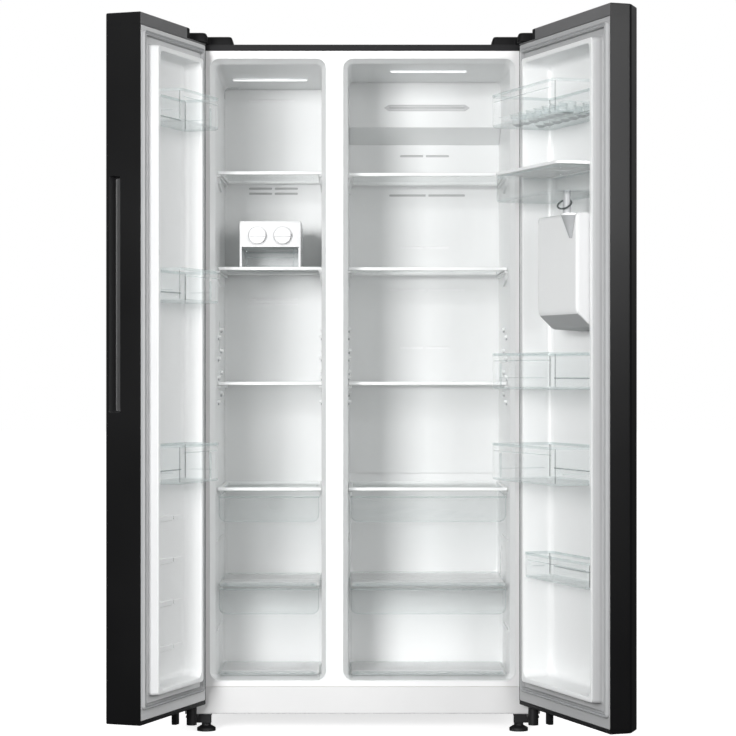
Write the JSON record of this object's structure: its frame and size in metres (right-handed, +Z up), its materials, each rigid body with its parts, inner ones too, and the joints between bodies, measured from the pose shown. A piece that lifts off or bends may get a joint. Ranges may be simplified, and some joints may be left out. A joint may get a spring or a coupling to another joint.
{
  "type": "side by side refrigerator",
  "caption": "Free-standing fridge-freezer with two hinged doors standing open, glass shelves, clear drawers and door bins, an ice maker, a water tank and a dispenser niche.",
  "frame": {"origin": "on the floor, under the middle of the cabinet's front face", "axes": "+Z up, +X to the right as seen from the front, +Y from the front face to the back"},
  "size_m": [1.2675, 1.062, 1.786],
  "materials": {
    "case_paint": "satin",
    "rear_sheet": "satin",
    "base_steel": "satin",
    "foam": "matte",
    "liner_white": "gloss",
    "frame_white": "satin",
    "trim_grey": "satin",
    "rail_grey": "satin",
    "cover_grey": "satin",
    "hinge_steel": "satin",
    "panel_white": "satin",
    "lamp_lens": "satin",
    "coil_metal": "satin",
    "compressor_black": "satin",
    "grille_dark": "matte",
    "fan_white": "satin",
    "roller_grey": "matte",
    "foot_black": "matte",
    "shelf_glass": "gloss",
    "clear_plastic": "gloss",
    "ice_white": "gloss",
    "door_black": "satin",
    "door_trim": "satin",
    "gasket_rubber": "matte",
    "lid_white": "gloss",
    "tap_grey": "satin",
    "dispenser_dark": "satin"
  },
  "bodies": {
    "cabinet": {"outer_case": "case_paint", "rear_panel": "rear_sheet", "base_plate": "base_steel", "cabinet_foam": "foam", "freezer_liner": "liner_white", "fridge_liner": "liner_white", "front_frame": "frame_white", "top_trim": "trim_grey", "bottom_rail": "rail_grey", "hinge_covers": "cover_grey", "door_hinges": "hinge_steel", "freezer_air_panel": "panel_white", "fridge_air_duct": "panel_white", "lamp_lenses": "lamp_lens", "evaporator": "coil_metal", "compressor": "compressor_black", "condenser": "compressor_black", "machine_cover": "grille_dark"},
    "fan": {"evaporator_fan": "fan_white"},
    "rollers": {"rear_rollers": "roller_grey"},
    "left_foot": {"foot_left": "foot_black"},
    "right_foot": {"foot_right": "foot_black"},
    "freezer_shelf_1": {"freezer_shelf_1": "shelf_glass"},
    "freezer_shelf_2": {"freezer_shelf_2": "shelf_glass", "ice_maker_housing": "ice_white"},
    "freezer_shelf_3": {"freezer_shelf_3": "shelf_glass"},
    "fridge_shelf_1": {"fridge_shelf_1": "shelf_glass"},
    "fridge_shelf_2": {"fridge_shelf_2": "shelf_glass"},
    "fridge_shelf_3": {"fridge_shelf_3": "shelf_glass"},
    "freezer_cover": {"freezer_drawer_cover": "shelf_glass"},
    "fridge_cover": {"fridge_drawer_cover": "shelf_glass"},
    "freezer_drawer_1": {"freezer_drawer_1": "clear_plastic"},
    "freezer_drawer_2": {"freezer_drawer_2": "clear_plastic"},
    "fridge_drawer_1": {"fridge_drawer_1": "clear_plastic"},
    "fridge_drawer_2": {"fridge_drawer_2": "clear_plastic"},
    "left_knob": {"ice_knob_left": "ice_white"},
    "right_knob": {"ice_knob_right": "ice_white"},
    "ice_box": {"ice_box": "clear_plastic"},
    "freezer_door": {"freezer_door_panel": "door_black", "freezer_door_trims": "door_trim", "freezer_door_liner": "liner_white", "freezer_door_gasket": "gasket_rubber", "freezer_door_foam": "foam"},
    "freezer_bin_1": {"freezer_bin_1": "clear_plastic"},
    "freezer_bin_2": {"freezer_bin_2": "clear_plastic"},
    "freezer_bin_3": {"freezer_bin_3": "clear_plastic"},
    "fridge_door": {"fridge_door_panel": "door_black", "fridge_door_trims": "door_trim", "fridge_door_liner": "liner_white", "fridge_door_gasket": "gasket_rubber", "fridge_door_foam": "foam", "water_tap": "tap_grey"},
    "fridge_bin_1": {"fridge_bin_1": "clear_plastic"},
    "fridge_bin_2": {"fridge_bin_2": "clear_plastic"},
    "fridge_bin_3": {"fridge_bin_3": "clear_plastic"},
    "fridge_bin_4": {"fridge_bin_4": "clear_plastic"},
    "water_tank": {"water_tank": "clear_plastic"},
    "tank_lid": {"tank_lid": "lid_white"},
    "paddle": {"dispenser_paddle": "dispenser_dark"},
    "drip_tray": {"drip_tray": "dispenser_dark"}
  },
  "joints": [
    {"name": "freezer_door_hinge", "type": "hinge", "parent": "cabinet", "child": "freezer_door", "pos_m": [-0.435, -0.04, 0.9], "axis": [0, 0, -1], "range_deg": [-110, 10]},
    {"name": "fridge_door_hinge", "type": "hinge", "parent": "cabinet", "child": "fridge_door", "pos_m": [0.435, -0.04, 0.9], "axis": [0, 0, 1], "range_deg": [-110, 10]},
    {"name": "freezer_shelf_1_slide", "type": "slide", "parent": "cabinet", "child": "freezer_shelf_1", "axis": [0, -1, 0], "range_m": [0, 0.2]},
    {"name": "freezer_shelf_2_slide", "type": "slide", "parent": "cabinet", "child": "freezer_shelf_2", "axis": [0, -1, 0], "range_m": [0, 0.2]},
    {"name": "freezer_shelf_3_slide", "type": "slide", "parent": "cabinet", "child": "freezer_shelf_3", "axis": [0, -1, 0], "range_m": [0, 0.2]},
    {"name": "freezer_cover_slide", "type": "slide", "parent": "cabinet", "child": "freezer_cover", "axis": [0, -1, 0], "range_m": [0, 0.2]},
    {"name": "fridge_shelf_1_slide", "type": "slide", "parent": "cabinet", "child": "fridge_shelf_1", "axis": [0, -1, 0], "range_m": [0, 0.2]},
    {"name": "fridge_shelf_2_slide", "type": "slide", "parent": "cabinet", "child": "fridge_shelf_2", "axis": [0, -1, 0], "range_m": [0, 0.2]},
    {"name": "fridge_shelf_3_slide", "type": "slide", "parent": "cabinet", "child": "fridge_shelf_3", "axis": [0, -1, 0], "range_m": [0, 0.2]},
    {"name": "fridge_cover_slide", "type": "slide", "parent": "cabinet", "child": "fridge_cover", "axis": [0, -1, 0], "range_m": [0, 0.2]},
    {"name": "freezer_drawer_1_slide", "type": "slide", "parent": "cabinet", "child": "freezer_drawer_1", "axis": [0, -1, 0], "range_m": [0, 0.3]},
    {"name": "freezer_drawer_2_slide", "type": "slide", "parent": "cabinet", "child": "freezer_drawer_2", "axis": [0, -1, 0], "range_m": [0, 0.2]},
    {"name": "fridge_drawer_1_slide", "type": "slide", "parent": "cabinet", "child": "fridge_drawer_1", "axis": [0, -1, 0], "range_m": [0, 0.3]},
    {"name": "fridge_drawer_2_slide", "type": "slide", "parent": "cabinet", "child": "fridge_drawer_2", "axis": [0, -1, 0], "range_m": [0, 0.2]},
    {"name": "left_knob_turn", "type": "hinge", "parent": "freezer_shelf_2", "child": "left_knob", "pos_m": [-0.275, 0, 1.28], "axis": [0, 1, 0], "range_deg": [0, 100], "stiffness_Nm_per_rad": 0.03},
    {"name": "right_knob_turn", "type": "hinge", "parent": "freezer_shelf_2", "child": "right_knob", "pos_m": [-0.209, 0, 1.28], "axis": [0, 1, 0], "range_deg": [0, 100], "stiffness_Nm_per_rad": 0.03},
    {"name": "ice_box_slide", "type": "slide", "parent": "freezer_shelf_2", "child": "ice_box", "axis": [0, -1, 0], "range_m": [0, 0.15]},
    {"name": "freezer_bin_1_lift", "type": "slide", "parent": "freezer_door", "child": "freezer_bin_1", "axis": [0, 0, 1], "range_m": [0, 0.05]},
    {"name": "freezer_bin_2_lift", "type": "slide", "parent": "freezer_door", "child": "freezer_bin_2", "axis": [0, 0, 1], "range_m": [0, 0.05]},
    {"name": "freezer_bin_3_lift", "type": "slide", "parent": "freezer_door", "child": "freezer_bin_3", "axis": [0, 0, 1], "range_m": [0, 0.05]},
    {"name": "fridge_bin_1_lift", "type": "slide", "parent": "fridge_door", "child": "fridge_bin_1", "axis": [0, 0, 1], "range_m": [0, 0.05]},
    {"name": "fridge_bin_2_lift", "type": "slide", "parent": "fridge_door", "child": "fridge_bin_2", "axis": [0, 0, 1], "range_m": [0, 0.03]},
    {"name": "fridge_bin_3_lift", "type": "slide", "parent": "fridge_door", "child": "fridge_bin_3", "axis": [0, 0, 1], "range_m": [0, 0.05]},
    {"name": "fridge_bin_4_lift", "type": "slide", "parent": "fridge_door", "child": "fridge_bin_4", "axis": [0, 0, 1], "range_m": [0, 0.05]},
    {"name": "water_tank_lift", "type": "slide", "parent": "fridge_door", "child": "water_tank", "axis": [0, 0, 1], "range_m": [0, 0.05]},
    {"name": "tank_lid_hinge", "type": "hinge", "parent": "water_tank", "child": "tank_lid", "pos_m": [0.5299, -0.2715, 1.416], "axis": [-0.342, 0.9397, 0], "range_deg": [0, 44]},
    {"name": "paddle_push", "type": "hinge", "parent": "fridge_door", "child": "paddle", "pos_m": [0.53677, -0.37223, 1.262], "axis": [-0.342, 0.9397, 0], "range_deg": [0, 12], "stiffness_Nm_per_rad": 0.4},
    {"name": "drip_tray_slide", "type": "slide", "parent": "fridge_door", "child": "drip_tray", "axis": [0.9397, 0.342, 0], "range_m": [0, 0.06]},
    {"name": "fan_spin", "type": "hinge", "parent": "cabinet", "child": "fan", "pos_m": [-0.242, 0.462, 0.56], "axis": [0, 1, 0], "continuous": true},
    {"name": "roller_spin", "type": "hinge", "parent": "cabinet", "child": "rollers", "pos_m": [0, 0.5, 0.022], "axis": [1, 0, 0], "continuous": true},
    {"name": "left_foot_turn", "type": "hinge", "parent": "cabinet", "child": "left_foot", "pos_m": [-0.402, 0.026, 0.022], "axis": [0, 0, 1], "continuous": true},
    {"name": "right_foot_turn", "type": "hinge", "parent": "cabinet", "child": "right_foot", "pos_m": [0.402, 0.026, 0.022], "axis": [0, 0, 1], "continuous": true}
  ]
}
